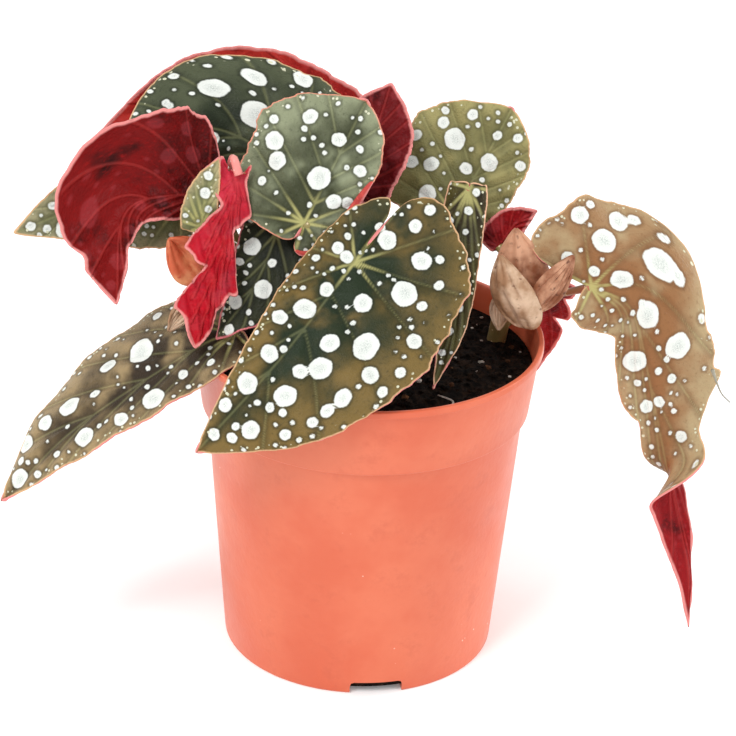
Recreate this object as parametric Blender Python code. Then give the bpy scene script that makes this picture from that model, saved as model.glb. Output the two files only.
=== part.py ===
"""A potted polka dot begonia: a young cane begonia growing in a thin plastic nursery pot.

Each piece is its own object: the pot, the soil, three canes, one blade and one petiole for every leaf,
and the papery bracts round the cane tops. Units are metres, +Z is up, and the origin is the middle of
the pot's flat underside, which stands on the ground. -Y is the plant's front.
"""

import math

import bmesh
import bpy
from mathutils import Matrix, Vector

MM = 0.001  # the plant's tables below are in millimetres
GAP = 0.0003  # clearance between two pieces that touch

# Pot: a tapered body under a slightly wider collar, with a thicker lip round the rim.
POT_HEIGHT = 0.1145
RIM_RADIUS = 0.060
RIM_LIP_HEIGHT = 0.0024
RIM_LIP_WIDTH = 0.0008
RIM_TOP_WIDTH = 0.0018
COLLAR_TOP_RADIUS = RIM_RADIUS - RIM_LIP_WIDTH
COLLAR_BOTTOM_RADIUS = 0.0560
COLLAR_BOTTOM_HEIGHT = 0.0893
BODY_TOP_RADIUS = 0.0542
BASE_RADIUS = 0.0469
WALL = 0.0012
FLOOR_THICKNESS = 0.0016
EDGE = 0.0004  # chamfer on the pot's corners
POT_SIDES = 72

# Drainage notches, cut through the corner between the wall and the floor.
NOTCH_COUNT = 3
NOTCH_WIDTH = 0.018
NOTCH_HEIGHT = 0.0045
NOTCH_DEPTH = 0.008
NOTCH_SLOPE = 0.0015  # how much of its upper corners is cut off
NOTCH_BELOW = 0.001  # how far the cutter reaches below the base
NOTCH_BEYOND = 0.004  # and outside it
NOTCH_TURN = math.radians(-81)

# Soil, slightly heaped towards the middle.
SOIL_EDGE_HEIGHT = 0.1050
SOIL_HEAP = 0.0025
SOIL_SHOULDER = (0.6, 0.8)  # share of the rim's radius, share of the heap
SOIL_SIDES = 48

# Plant.
BLADE_THICKNESS = 0.0008
BLADE_ROWS = 12
BLADE_HALF_COLUMNS = 3
VEIN_LEAD = 1.5
MIDRIB_STEPS = 60
CANE_RADIUS = 0.0036
PETIOLE_RADIUS = 0.0016
PETIOLE_STANDOFF = 2.0  # mm from the blade's middle to the petiole's end
STEM_SIDES = 8
STEM_STEPS = 9
STEM_TAPER = 0.8  # a petiole's last radius as a share of its first
CANE_TAPER = 0.9
ROUTE_PARTS = 12  # samples between two points of a route
BRACT_THICKNESS = 0.0006
BRACT_ROWS = 8
BRACT_HALF_COLUMNS = 3
BRACT_FOOT_WIDTH = 0.35  # share of the bract's width
WELD = 0.00002

# Canes, from 12 mm under the soil to the growing tip.
CANES = {
    "cane_left": [(-30, 9, 94), (-33, 9, 120), (-39, 6, 149)],
    "cane_middle": [(2, 14, 94), (4, 13, 122), (8, 9, 145)],
    "cane_right": [(43, 17, 94), (46, 15, 116), (50, 9, 137)],
}

# Every blade has the same outline, the lopsided wing of a cane begonia, stretched to its own size. Each
# half leaves the notch behind the foot, rounds a lobe, is widest a little past the foot, and narrows to
# the tip. The lobe's points are shares of the lobe's length and of the half's width.
NOTCH_SHARE = 0.3
LOBE = ((0.8, 0.04), (1.0, 0.25), (0.8, 0.62), (0.45, 0.87))
BELLY = 0.14
TAPER_SHARES = (0.33, 0.66, 0.9)

# One blade each. midrib runs from the foot, where the petiole joins, to the tip. faces is the direction
# out of the spotted upper side. Each half is (width, lobe behind the foot, fold up from the midrib in
# degrees, further curl at the margin in degrees). belly is where the blade is widest, as a share of the
# midrib, and fullness is how late it narrows after that: 2 is round and 1 straight. twist is (start, end,
# degrees) about the midrib, with start and end as shares of it.
LEAVES = {
    "leaf_front": {
        "midrib": [(-5, -28, 153), (-28, -51, 128), (-54, -60, 98)],
        "faces": (0.05, -0.8, 0.6),
        "left": (40, 33, 0, 8),
        "right": (15, 24, 0, -10),
    },
    "leaf_upper": {
        "midrib": [(-22, -16, 161), (-13, -7, 178), (-3, 4, 197)],
        "faces": (0, -0.85, 0.5),
        "left": (30, 8, 0, -12),
        "right": (14, 10, 0, -10),
        "belly": 0.5,
        "fullness": 3,
    },
    "leaf_inner": {
        "midrib": [(-29, -5, 160), (-37, -17, 140), (-50, -25, 122)],
        "faces": (-0.3, -0.75, 0.55),
        "left": (17, 6, 0, -10),
        "right": (12, 6, 0, 10),
    },
    "leaf_top": {
        "midrib": [(-25, 12, 168), (-54, 17, 180), (-84, 3, 180)],
        "faces": (0, -0.76, 0.65),
        "left": (18, 6, 0, -10),
        "right": (34, 20, 0, -12),
    },
    "leaf_back": {
        "midrib": [(-9, 31, 165), (-50, 43, 180), (-93, 14, 177)],
        "faces": (-0.1, 0.8, -0.55),
        "left": (22, 9, 0, -20),
        "right": (22, 6, 0, -10),
    },
    "leaf_back_right": {
        "midrib": [(-7, 6, 164), (0, 15, 181), (5, 23, 196)],
        "faces": (0, 0.8, -0.6),
        "left": (14, 3, 0, -10),
        "right": (14, 5, 0, -10),
        "belly": 0.45,
    },
    "leaf_left": {
        "midrib": [(-54, -5, 166), (-80, -13, 162), (-83, -24, 133)],
        "faces": (-0.15, 0.8, -0.4),
        "left": (29, 6, 0, -15),
        "right": (8, 3, 0, 0),
    },
    "leaf_far_left": {
        "midrib": [(-64, 6, 158), (-93, -3, 159), (-118, -10, 151)],
        "faces": (0.25, -0.9, 0.35),
        "left": (16, 4, 0, 10),
        "right": (15, 4, 0, -10),
    },
    "leaf_upper_right": {
        "midrib": [(27, 12, 154), (37, 21, 170), (46, 28, 187)],
        "faces": (0, -0.85, 0.5),
        "left": (28, 8, 0, -12),
        "right": (15, 6, 0, -10),
        "belly": 0.45,
        "fullness": 3,
    },
    "leaf_folded": {
        "midrib": [(32, 2, 168), (30, -9, 150), (28, -28, 132), (22, -46, 117)],
        "faces": (0, -0.8, 0.6),
        "left": (7, 2, 0, -20),
        "right": (8, 2, 0, -20),
    },
    "leaf_right": {
        "midrib": [(74, -8, 138), (88, -8, 130), (96, -12, 104), (105, -20, 69), (112, -24, 42),
                   (114, -28, 20)],
        "faces": (-0.1, -0.85, 0.45),
        "left": (31, 25, 0, -15),
        "right": (14, 2, 0, -10),
        "belly": 0.1,
        "fullness": 0.85,
        "twist": (0.5, 0.64, 150),
    },
    "leaf_lower_left": {
        "midrib": [(-44, -20, 122), (-57, -25, 118), (-96, -33, 91), (-120, -38, 65)],
        "faces": (-0.4, -0.55, 0.75),
        "left": (15, 3, 4, 0),
        "right": (29, 8, 0, -15),
        "belly": 0.3,
    },
    "leaf_back_low": {
        "midrib": [(52, 22, 126), (60, 36, 121), (62, 50, 100), (57, 62, 64)],
        "faces": (0.1, 0.8, 0.5),
        "left": (11, 5, 0, -10),
        "right": (12, 5, 0, -10),
    },
    "leaf_back_left": {
        "midrib": [(-18, 26, 134), (-24, 50, 133), (-31, 70, 112), (-35, 80, 82)],
        "faces": (0, 0.45, 0.9),
        "left": (16, 6, 0, -15),
        "right": (27, 8, 0, -15),
    },
    "leaf_young_right": {
        "midrib": [(43, 3, 147), (48, 5, 154), (55, 4, 160)],
        "faces": (0, 0.9, -0.2),
        "left": (5, 2, 0, 0),
        "right": (8, 3, 0, 0),
    },
    "leaf_young_left": {
        "midrib": [(-56, -15, 158), (-54, -14, 170), (-50, -13, 182)],
        "faces": (0, -1, 0.1),
        "left": (6, 2, 0, 0),
        "right": (4, 2, 0, 0),
    },
    "leaf_rolled": {
        "midrib": [(-44, -11, 175), (-47, -18, 159), (-52, -27, 138), (-56, -33, 122)],
        "faces": (-0.3, 0.9, -0.4),
        "left": (6, 1, 0, 0),
        "right": (4, 1, 0, 0),
        "belly": 0.6,
        "fullness": 3,
    },
}

# Petioles, from beside a cane towards the foot of the blade, where the last stretch is worked out.
PETIOLES = {
    "leaf_front": [(5, 3, 138), (0, -10, 141)],
    "leaf_upper": [(3, 4, 130), (-3, -9, 140), (-10, -14, 149), (-17, -15, 156)],
    "leaf_inner": [(-35, 2, 144), (-32, 2, 151)],
    "leaf_top": [(-34, 10, 146), (-29, 13, 157)],
    "leaf_back": [(6, 17, 138), (1, 17, 150), (-6, 18, 160)],
    "leaf_back_right": [(5, 11, 148), (-1, -2, 156)],
    "leaf_left": [(-45, 4, 146), (-47, -4, 156), (-49, -9, 164)],
    "leaf_far_left": [(-44, 8, 140), (-55, 10, 146)],
    "leaf_upper_right": [(14, 10, 142), (22, 14, 146)],
    "leaf_folded": [(12, 7, 138), (24, 7, 146)],
    "leaf_right": [(55, 8, 131), (64, 0, 132)],
    "leaf_lower_left": [(-35, 4, 111), (-40, -8, 112)],
    "leaf_back_low": [(50, 19, 113), (51, 20, 118)],
    "leaf_back_left": [(-29, 14, 112), (-23, 19, 124)],
    "leaf_young_right": [(49, 5, 141), (46, 0, 144)],
    "leaf_young_left": [(-43, 0, 139), (-51, -8, 146)],
    "leaf_rolled": [(-43, 4, 151), (-47, -2, 168), (-46, -9, 180)],
}

# Bracts: foot, tip, the direction across the bract, its width, and how deep it is cupped.
BRACTS = {
    "bract_right_front": ((53, -4, 130), (48, -5, 157), (1, 0, 0), 15, 4),
    "bract_right_left": ((53, -12, 124), (43, -14, 151), (1, -0.3, 0), 13, 4),
    "bract_right_side": ((56, -12, 131), (67, -12, 151), (0.8, 0.2, -0.6), 9, 2),
    "bract_right_tail": ((45, 0, 131), (44, -8, 121), (1, 0, 0), 6, 1),
    "bract_left_front": ((-54, -18, 141), (-66, -19, 155), (0.7, 0.2, 0.7), 13, -2),
    "bract_left_tail": ((-58, -18, 133), (-66, -20, 122), (0.8, 0, -0.6), 6, 1),
}

COLORS = {
    "pot": (0.75, 0.19, 0.11),
    "soil": (0.02, 0.012, 0.009),
    "cane": (0.16, 0.15, 0.05),
    "petiole": (0.20, 0.16, 0.05),
    "leaf": (0.03, 0.07, 0.04),
    "bract": (0.42, 0.22, 0.15),
}
ROUGHNESS = {"pot": 0.35, "soil": 0.95, "cane": 0.5, "petiole": 0.45, "leaf": 0.4, "bract": 0.7}


def clear_scene():
    for obj in list(bpy.data.objects):
        bpy.data.objects.remove(obj, do_unlink=True)


def material(kind):
    made = bpy.data.materials.get(kind) or bpy.data.materials.new(kind)
    made.use_nodes = True
    shader = made.node_tree.nodes["Principled BSDF"]
    shader.inputs["Base Color"].default_value = (*COLORS[kind], 1)
    shader.inputs["Roughness"].default_value = ROUGHNESS[kind]
    return made


def add_object(name, data, kind):
    made = bpy.data.objects.new(name, data)
    bpy.context.scene.collection.objects.link(made)
    if kind:
        data.materials.append(material(kind))
    return made


def mesh_object(name, kind, corners, faces):
    mesh = bpy.data.meshes.new(name)
    mesh.from_pydata(corners, [], faces)
    mesh.shade_smooth()
    mesh.set_sharp_from_angle(angle=math.radians(40))
    return add_object(name, mesh, kind)


def turned(name, kind, profile, sides):
    """A closed solid of revolution. The profile runs from the axis, round the outside, back to the axis."""
    corners = []
    faces = []
    rings = []
    for radius, height in profile:
        if radius == 0:
            rings.append([len(corners)])
            corners.append((0, 0, height))
            continue
        rings.append([len(corners) + i for i in range(sides)])
        for i in range(sides):
            turn = 2 * math.pi * i / sides
            corners.append((radius * math.cos(turn), radius * math.sin(turn), height))
    for lower, upper in zip(rings, rings[1:]):
        for i in range(sides):
            j = (i + 1) % sides
            below = [lower[i % len(lower)], lower[j % len(lower)]]
            above = [upper[j % len(upper)], upper[i % len(upper)]]
            ring = below + above
            faces.append(tuple(dict.fromkeys(ring)))
    return mesh_object(name, kind, corners, faces)


def cutter(made):
    made.hide_render = True
    made.display_type = "WIRE"
    return made


def cut(target, tool):
    """Takes the cutter's shape out of the target."""
    modifier = target.modifiers.new(tool.name, "BOOLEAN")
    modifier.operation = "DIFFERENCE"
    modifier.solver = "EXACT"
    modifier.object = cutter(tool)


def body_radius(height):
    """Outer radius of the pot's tapered body."""
    share = height / COLLAR_BOTTOM_HEIGHT
    return BASE_RADIUS + (BODY_TOP_RADIUS - BASE_RADIUS) * share


def collar_radius(height):
    """Outer radius of the pot's collar."""
    share = (height - COLLAR_BOTTOM_HEIGHT) / (POT_HEIGHT - COLLAR_BOTTOM_HEIGHT)
    return COLLAR_BOTTOM_RADIUS + (COLLAR_TOP_RADIUS - COLLAR_BOTTOM_RADIUS) * share


def make_pot():
    lip_bottom = POT_HEIGHT - RIM_LIP_HEIGHT
    profile = [
        (0, 0),
        (BASE_RADIUS - EDGE, 0),
        (body_radius(EDGE), EDGE),
        (BODY_TOP_RADIUS, COLLAR_BOTTOM_HEIGHT - EDGE),
        (COLLAR_BOTTOM_RADIUS, COLLAR_BOTTOM_HEIGHT + EDGE),
        (collar_radius(lip_bottom - EDGE), lip_bottom - EDGE),
        (RIM_RADIUS, lip_bottom),
        (RIM_RADIUS, POT_HEIGHT - EDGE),
        (RIM_RADIUS - EDGE, POT_HEIGHT),
        (RIM_RADIUS - RIM_TOP_WIDTH, POT_HEIGHT),
        (collar_radius(lip_bottom) - WALL, lip_bottom),
        (COLLAR_BOTTOM_RADIUS - WALL, COLLAR_BOTTOM_HEIGHT + WALL),
        (BODY_TOP_RADIUS - WALL, COLLAR_BOTTOM_HEIGHT),
        (body_radius(FLOOR_THICKNESS) - WALL, FLOOR_THICKNESS),
        (0, FLOOR_THICKNESS),
    ]
    pot = turned("pot", "pot", profile, POT_SIDES)
    for i in range(NOTCH_COUNT):
        cut(pot, notch_block(f"notch_{i + 1}", NOTCH_TURN + 2 * math.pi * i / NOTCH_COUNT))
    return pot


def notch_block(name, turn):
    """A block that crosses the corner of the base, with its upper corners cut off."""
    half = NOTCH_WIDTH / 2
    outline = [
        (-half, -NOTCH_BELOW),
        (half, -NOTCH_BELOW),
        (half, NOTCH_HEIGHT - NOTCH_SLOPE),
        (half - NOTCH_SLOPE, NOTCH_HEIGHT),
        (-half + NOTCH_SLOPE, NOTCH_HEIGHT),
        (-half, NOTCH_HEIGHT - NOTCH_SLOPE),
    ]
    radii = (BASE_RADIUS - NOTCH_DEPTH, BASE_RADIUS + NOTCH_BEYOND)
    out = Vector((math.cos(turn), math.sin(turn), 0))
    side = Vector((-math.sin(turn), math.cos(turn), 0))
    corners = [out * r + side * x + Vector((0, 0, z)) for r in radii for x, z in outline]
    count = len(outline)
    faces = [tuple(reversed(range(count))), tuple(range(count, 2 * count))]
    for i in range(count):
        j = (i + 1) % count
        faces.append((i, j, j + count, i + count))
    return mesh_object(name, None, corners, faces)


def make_soil():
    inner = [
        (0, FLOOR_THICKNESS + GAP),
        (body_radius(FLOOR_THICKNESS) - WALL - GAP, FLOOR_THICKNESS + GAP),
        (BODY_TOP_RADIUS - WALL - GAP, COLLAR_BOTTOM_HEIGHT),
        (COLLAR_BOTTOM_RADIUS - WALL - GAP, COLLAR_BOTTOM_HEIGHT + WALL + GAP),
        (collar_radius(SOIL_EDGE_HEIGHT) - WALL - GAP, SOIL_EDGE_HEIGHT),
        (RIM_RADIUS * SOIL_SHOULDER[0], SOIL_EDGE_HEIGHT + SOIL_HEAP * SOIL_SHOULDER[1]),
        (0, SOIL_EDGE_HEIGHT + SOIL_HEAP),
    ]
    soil = turned("soil", "soil", inner, SOIL_SIDES)
    for name, route in CANES.items():
        cut(soil, tube(f"socket_{name}", None, route, CANE_RADIUS + GAP, 1, extra_foot=GAP))
    return soil


def smooth_route(points, steps):
    """Evenly spaced points on a Catmull-Rom curve through the given ones."""
    points = [Vector(p) for p in points]
    padded = [2 * points[0] - points[1], *points, 2 * points[-1] - points[-2]]
    fine = []
    for a, b, c, d in zip(padded, padded[1:], padded[2:], padded[3:]):
        for i in range(ROUTE_PARTS):
            t = i / ROUTE_PARTS
            fine.append(0.5 * (2 * b + (c - a) * t + (2 * a - 5 * b + 4 * c - d) * t**2
                               + (3 * b - a - 3 * c + d) * t**3))
    fine.append(points[-1])
    lengths = [0]
    for a, b in zip(fine, fine[1:]):
        lengths.append(lengths[-1] + (b - a).length)
    spaced = []
    at = 0
    for i in range(steps + 1):
        wanted = lengths[-1] * i / steps
        while at < len(fine) - 2 and lengths[at + 1] < wanted:
            at += 1
        span = (lengths[at + 1] - lengths[at]) or 1
        spaced.append(fine[at].lerp(fine[at + 1], min(1, (wanted - lengths[at]) / span)))
    return spaced


def tube(name, kind, route, radius, end_scale, extra_foot=0):
    """A round stem along the route, given in millimetres, that tapers towards its end."""
    steps = STEM_STEPS
    points = [p * MM for p in smooth_route(route, steps)]
    if extra_foot:
        points[0] += (points[0] - points[1]).normalized() * extra_foot
        points[-1] += (points[-1] - points[-2]).normalized() * extra_foot
    corners = []
    side = Vector((1, 0, 0))
    for i, point in enumerate(points):
        along = (points[min(i + 1, steps)] - points[max(i - 1, 0)]).normalized()
        side = (side - along * side.dot(along)).normalized()
        other = along.cross(side)
        here = radius * (1 + (end_scale - 1) * i / steps)
        for k in range(STEM_SIDES):
            turn = 2 * math.pi * k / STEM_SIDES
            corners.append(point + (side * math.cos(turn) + other * math.sin(turn)) * here)
    faces = [tuple(reversed(range(STEM_SIDES)))]
    for i in range(steps):
        for k in range(STEM_SIDES):
            low = i * STEM_SIDES
            nxt = (k + 1) % STEM_SIDES
            faces.append((low + k, low + nxt, low + nxt + STEM_SIDES, low + k + STEM_SIDES))
    faces.append(tuple(range(steps * STEM_SIDES, (steps + 1) * STEM_SIDES)))
    return mesh_object(name, kind, corners, faces)


def half_outline(leaf, length, half):
    """Flat outline of half a blade, as (along, across) points from the notch round the lobe to the tip."""
    width, lobe = half[:2]
    belly = leaf.get("belly", BELLY) * length
    fullness = leaf.get("fullness", 2)
    notch = NOTCH_SHARE * min(leaf["left"][1], leaf["right"][1])
    points = [(-notch, 0)]
    for back, out in LOBE:
        points.append((-lobe * back, width * out))
    points.append((belly, width))
    for share in TAPER_SHARES:
        points.append((belly + (length - belly) * share, width * (1 - share**fullness)))
    points.append((length, 0))
    return smooth_route([(along, across, 0) for along, across in points], BLADE_ROWS)


def midrib_frame(leaf, line, length, along):
    """The midrib's point this far from the foot, with the forward, left and up directions there."""
    share = max(0, along) / length
    at = min(share * MIDRIB_STEPS, MIDRIB_STEPS - 0.001)
    i = int(at)
    forward = (line[min(i + 2, MIDRIB_STEPS)] - line[max(i - 1, 0)]).normalized()
    faces = Vector(leaf["faces"])
    up = (faces - forward * faces.dot(forward)).normalized()
    start, end, degrees = leaf.get("twist", (0, 1, 0))
    turned_share = min(1, max(0, (share - start) / (end - start)))
    up = Matrix.Rotation(math.radians(degrees * turned_share), 3, forward) @ up
    point = line[i].lerp(line[i + 1], at - i) + forward * min(0, along)
    return point, forward, up.cross(forward), up


def blade_point(leaf, line, length, along, across):
    """A flat point of the blade, bent into place. across is positive towards the left."""
    width, _, fold, curl = leaf["left"] if across > 0 else leaf["right"]
    point, _, left, up = midrib_frame(leaf, line, length, along)
    rise = math.radians(fold + curl * abs(across) / width)
    return point + left * across * math.cos(rise) + up * abs(across) * math.sin(rise)


def route_length(points):
    return sum((b - a).length for a, b in zip(points, points[1:]))


def blade_rows(leaf):
    """Rows of points across the blade, from the foot to the tip, in millimetres."""
    line = smooth_route(leaf["midrib"], MIDRIB_STEPS)
    length = route_length(line)
    left = half_outline(leaf, length, leaf["left"])
    right = half_outline(leaf, length, leaf["right"])
    rows = []
    for i in range(BLADE_ROWS + 1):
        middle = Vector((length * (i / BLADE_ROWS) ** VEIN_LEAD, 0, 0))
        row = []
        for j in range(-BLADE_HALF_COLUMNS, BLADE_HALF_COLUMNS + 1):
            margin = left[i] if j < 0 else right[i]
            flat = middle.lerp(margin, abs(j) / BLADE_HALF_COLUMNS)
            row.append(blade_point(leaf, line, length, flat.x, -flat.y if j > 0 else flat.y))
        rows.append(row)
    return rows


def blade(name, kind, rows, thickness):
    """A thin closed leaf from rows of points: a welded sheet under a Solidify modifier."""
    columns = len(rows[0])
    corners = [p * MM for row in rows for p in row]
    faces = []
    for i in range(len(rows) - 1):
        for j in range(columns - 1):
            at = i * columns + j
            faces.append((at, at + 1, at + 1 + columns, at + columns))
    mesh = bpy.data.meshes.new(name)
    mesh.from_pydata(corners, [], faces)
    sheet = bmesh.new()
    sheet.from_mesh(mesh)
    bmesh.ops.remove_doubles(sheet, verts=sheet.verts, dist=WELD)
    bmesh.ops.dissolve_degenerate(sheet, edges=sheet.edges, dist=WELD)
    sheet.to_mesh(mesh)
    sheet.free()
    mesh.shade_smooth()
    made = add_object(name, mesh, kind)
    solid = made.modifiers.new("Solidify", "SOLIDIFY")
    solid.thickness = thickness
    solid.offset = 0
    return made


def petiole_route(name, leaf):
    """The petiole's points, ending just under the blade's foot."""
    line = smooth_route(leaf["midrib"], MIDRIB_STEPS)
    foot, _, _, up = midrib_frame(leaf, line, route_length(line), 0)
    return [*PETIOLES[name], foot - up * PETIOLE_STANDOFF]


def make_leaf(name, leaf):
    blade(name, "leaf", blade_rows(leaf), BLADE_THICKNESS)
    tube(name.replace("leaf", "petiole"), "petiole", petiole_route(name, leaf), PETIOLE_RADIUS, STEM_TAPER)


def bract_rows(foot, tip, across, width, cup):
    """Rows of points for a pointed, cupped bract."""
    foot = Vector(foot)
    tip = Vector(tip)
    across = Vector(across).normalized()
    out = across.cross(tip - foot).normalized()
    rows = []
    for i in range(BRACT_ROWS + 1):
        share = i / BRACT_ROWS
        half_width = width / 2 * (BRACT_FOOT_WIDTH * (1 - share) + math.sin(math.pi * share**0.8) ** 0.8)
        row = []
        for j in range(-BRACT_HALF_COLUMNS, BRACT_HALF_COLUMNS + 1):
            side = j / BRACT_HALF_COLUMNS
            point = foot.lerp(tip, share) + across * half_width * side
            row.append(point + out * cup * (1 - side**2) * math.sin(math.pi * share))
        rows.append(row)
    return rows


def main():
    clear_scene()
    make_pot()
    make_soil()
    for name, route in CANES.items():
        tube(name, "cane", route, CANE_RADIUS, CANE_TAPER)
    for name, leaf in LEAVES.items():
        make_leaf(name, leaf)
    for name, shape in BRACTS.items():
        blade(name, "bract", bract_rows(*shape), BRACT_THICKNESS)


main()
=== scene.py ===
"""The looks of the potted polka dot begonia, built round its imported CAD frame.

Every blade, stem, bract, the soil and the pot is a finer mesh that stands for its CAD node and follows its
shape. Two small blades are wider than theirs, and each petiole runs on into a cane. The soil's crumbs,
bark, perlite and fibre, one leaf's hem and one hair have no CAD node. A blade is drawn flat in millimetres,
as in the CAD, then bent into place; what its material needs (distance to the nearest spot, vein and
margin) is worked out on the flat shape and kept as attributes.
"""

import math

import bmesh
import bpy
import mathutils
import mathutils.noise
import numpy as np
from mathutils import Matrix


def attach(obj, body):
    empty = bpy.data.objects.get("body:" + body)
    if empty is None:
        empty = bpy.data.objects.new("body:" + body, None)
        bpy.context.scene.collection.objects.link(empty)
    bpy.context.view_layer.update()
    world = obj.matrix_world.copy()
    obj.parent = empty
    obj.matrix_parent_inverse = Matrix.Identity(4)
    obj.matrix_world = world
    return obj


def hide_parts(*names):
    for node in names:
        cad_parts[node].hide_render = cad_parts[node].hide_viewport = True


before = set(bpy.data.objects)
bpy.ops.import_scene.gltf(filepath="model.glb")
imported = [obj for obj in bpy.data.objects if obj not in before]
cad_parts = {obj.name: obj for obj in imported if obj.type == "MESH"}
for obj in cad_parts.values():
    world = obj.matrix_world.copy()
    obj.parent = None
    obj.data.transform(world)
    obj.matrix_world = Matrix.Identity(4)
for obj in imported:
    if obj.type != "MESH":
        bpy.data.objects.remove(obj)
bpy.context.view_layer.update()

MM = 0.001
SEED = 7

# ---------------------------------------------------------------- the plant, as in the CAD, in millimetres

CANES = {
    "cane_left": [(-30, 9, 94), (-33, 9, 120), (-39, 6, 149)],
    "cane_middle": [(2, 14, 94), (4, 13, 122), (8, 9, 145)],
    "cane_right": [(43, 17, 94), (46, 15, 116), (50, 9, 137)],
}

NOTCH_SHARE = 0.3
LOBE = ((0.8, 0.04), (1.0, 0.25), (0.8, 0.62), (0.45, 0.87))
BELLY = 0.14
TAPER_SHARES = (0.33, 0.66, 0.9)
VEIN_LEAD = 1.5
PETIOLE_STANDOFF = 2.0


def blade(midrib, faces, left, right, **more):
    return {"midrib": midrib, "faces": faces, "left": left, "right": right, **more}


# midrib, faces, left, right, belly, fullness and twist mean what they mean in the CAD: each half is
# (width, lobe, fold, curl).
LEAVES = {
    "leaf_front": blade([(-5, -28, 153), (-28, -51, 128), (-54, -60, 98)],
        (0.05, -0.8, 0.6), (40, 33, 0, 8), (15, 24, 0, -10)),
    "leaf_upper": blade([(-22, -16, 161), (-13, -7, 178), (-3, 4, 197)],
        (0, -0.85, 0.5), (30, 8, 0, -12), (14, 10, 0, -10), belly=0.5, fullness=3),
    "leaf_inner": blade([(-29, -5, 160), (-37, -17, 140), (-50, -25, 122)],
        (-0.3, -0.75, 0.55), (17, 6, 0, -10), (12, 6, 0, 10)),
    "leaf_top": blade([(-25, 12, 168), (-54, 17, 180), (-84, 3, 180)],
        (0, -0.76, 0.65), (18, 6, 0, -10), (34, 20, 0, -12)),
    "leaf_back": blade([(-9, 31, 165), (-50, 43, 180), (-93, 14, 177)],
        (-0.1, 0.8, -0.55), (22, 9, 0, -20), (22, 6, 0, -10)),
    "leaf_back_right": blade([(-7, 6, 164), (0, 15, 181), (5, 23, 196)],
        (0, 0.8, -0.6), (14, 3, 0, -10), (14, 5, 0, -10), belly=0.45),
    "leaf_left": blade([(-54, -5, 166), (-80, -13, 162), (-83, -24, 133)],
        (-0.15, 0.8, -0.4), (29, 6, 0, -15), (8, 3, 0, 0)),
    "leaf_far_left": blade([(-64, 6, 158), (-93, -3, 159), (-118, -10, 151)],
        (0.25, -0.9, 0.35), (16, 4, 0, 10), (15, 4, 0, -10)),
    "leaf_upper_right": blade([(27, 12, 154), (37, 21, 170), (46, 28, 187)],
        (0, -0.85, 0.5), (28, 8, 0, -12), (15, 6, 0, -10), belly=0.45, fullness=3),
    "leaf_folded": blade([(32, 2, 168), (30, -9, 150), (28, -28, 132), (22, -46, 117)],
        (0, -0.8, 0.6), (7, 2, 0, -20), (8, 2, 0, -20)),
    "leaf_right": blade([(74, -8, 138), (88, -8, 130), (96, -12, 104), (105, -20, 69),
        (112, -24, 42), (114, -28, 20)],
        (-0.1, -0.85, 0.45), (31, 25, 0, -15), (14, 2, 0, -10),
        belly=0.1, fullness=0.85, twist=(0.5, 0.64, 150)),
    "leaf_lower_left": blade([(-44, -20, 122), (-57, -25, 118), (-96, -33, 91), (-120, -38, 65)],
        (-0.4, -0.55, 0.75), (15, 3, 4, 0), (29, 8, 0, -15), belly=0.3),
    "leaf_back_low": blade([(52, 22, 126), (60, 36, 121), (62, 50, 100), (57, 62, 64)],
        (0.1, 0.8, 0.5), (11, 5, 0, -10), (12, 5, 0, -10)),
    "leaf_back_left": blade([(-18, 26, 134), (-24, 50, 133), (-31, 70, 112), (-35, 80, 82)],
        (0, 0.45, 0.9), (16, 6, 0, -15), (27, 8, 0, -15)),
    "leaf_young_right": blade([(43, 3, 147), (48, 5, 154), (55, 4, 160)],
        (0, 0.9, -0.2), (5, 2, 0, 0), (8, 3, 0, 0)),
    "leaf_young_left": blade([(-56, -15, 158), (-54, -14, 170), (-50, -13, 182)],
        (0, -1, 0.1), (6, 2, 0, 0), (4, 2, 0, 0)),
    "leaf_rolled": blade([(-44, -11, 175), (-47, -18, 159), (-52, -27, 138), (-56, -33, 122)],
        (-0.3, 0.9, -0.4), (6, 1, 0, 0), (4, 1, 0, 0), belly=0.6, fullness=3),
}

PETIOLES = {
    "leaf_front": [(5, 3, 138), (0, -10, 141)],
    "leaf_upper": [(3, 4, 130), (-3, -9, 140), (-10, -14, 149), (-17, -15, 156)],
    "leaf_inner": [(-35, 2, 144), (-32, 2, 151)],
    "leaf_top": [(-34, 10, 146), (-29, 13, 157)],
    "leaf_back": [(6, 17, 138), (1, 17, 150), (-6, 18, 160)],
    "leaf_back_right": [(5, 11, 148), (-1, -2, 156)],
    "leaf_left": [(-45, 4, 146), (-47, -4, 156), (-49, -9, 164)],
    "leaf_far_left": [(-44, 8, 140), (-55, 10, 146)],
    "leaf_upper_right": [(14, 10, 142), (22, 14, 146)],
    "leaf_folded": [(12, 7, 138), (24, 7, 146)],
    "leaf_right": [(55, 8, 131), (64, 0, 132)],
    "leaf_lower_left": [(-35, 4, 111), (-40, -8, 112)],
    "leaf_back_low": [(50, 19, 113), (51, 20, 118)],
    "leaf_back_left": [(-29, 14, 112), (-23, 19, 124)],
    "leaf_young_right": [(49, 5, 141), (46, 0, 144)],
    "leaf_young_left": [(-43, 0, 139), (-51, -8, 146)],
    "leaf_rolled": [(-43, 4, 151), (-47, -2, 168), (-46, -9, 180)],
}

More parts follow.
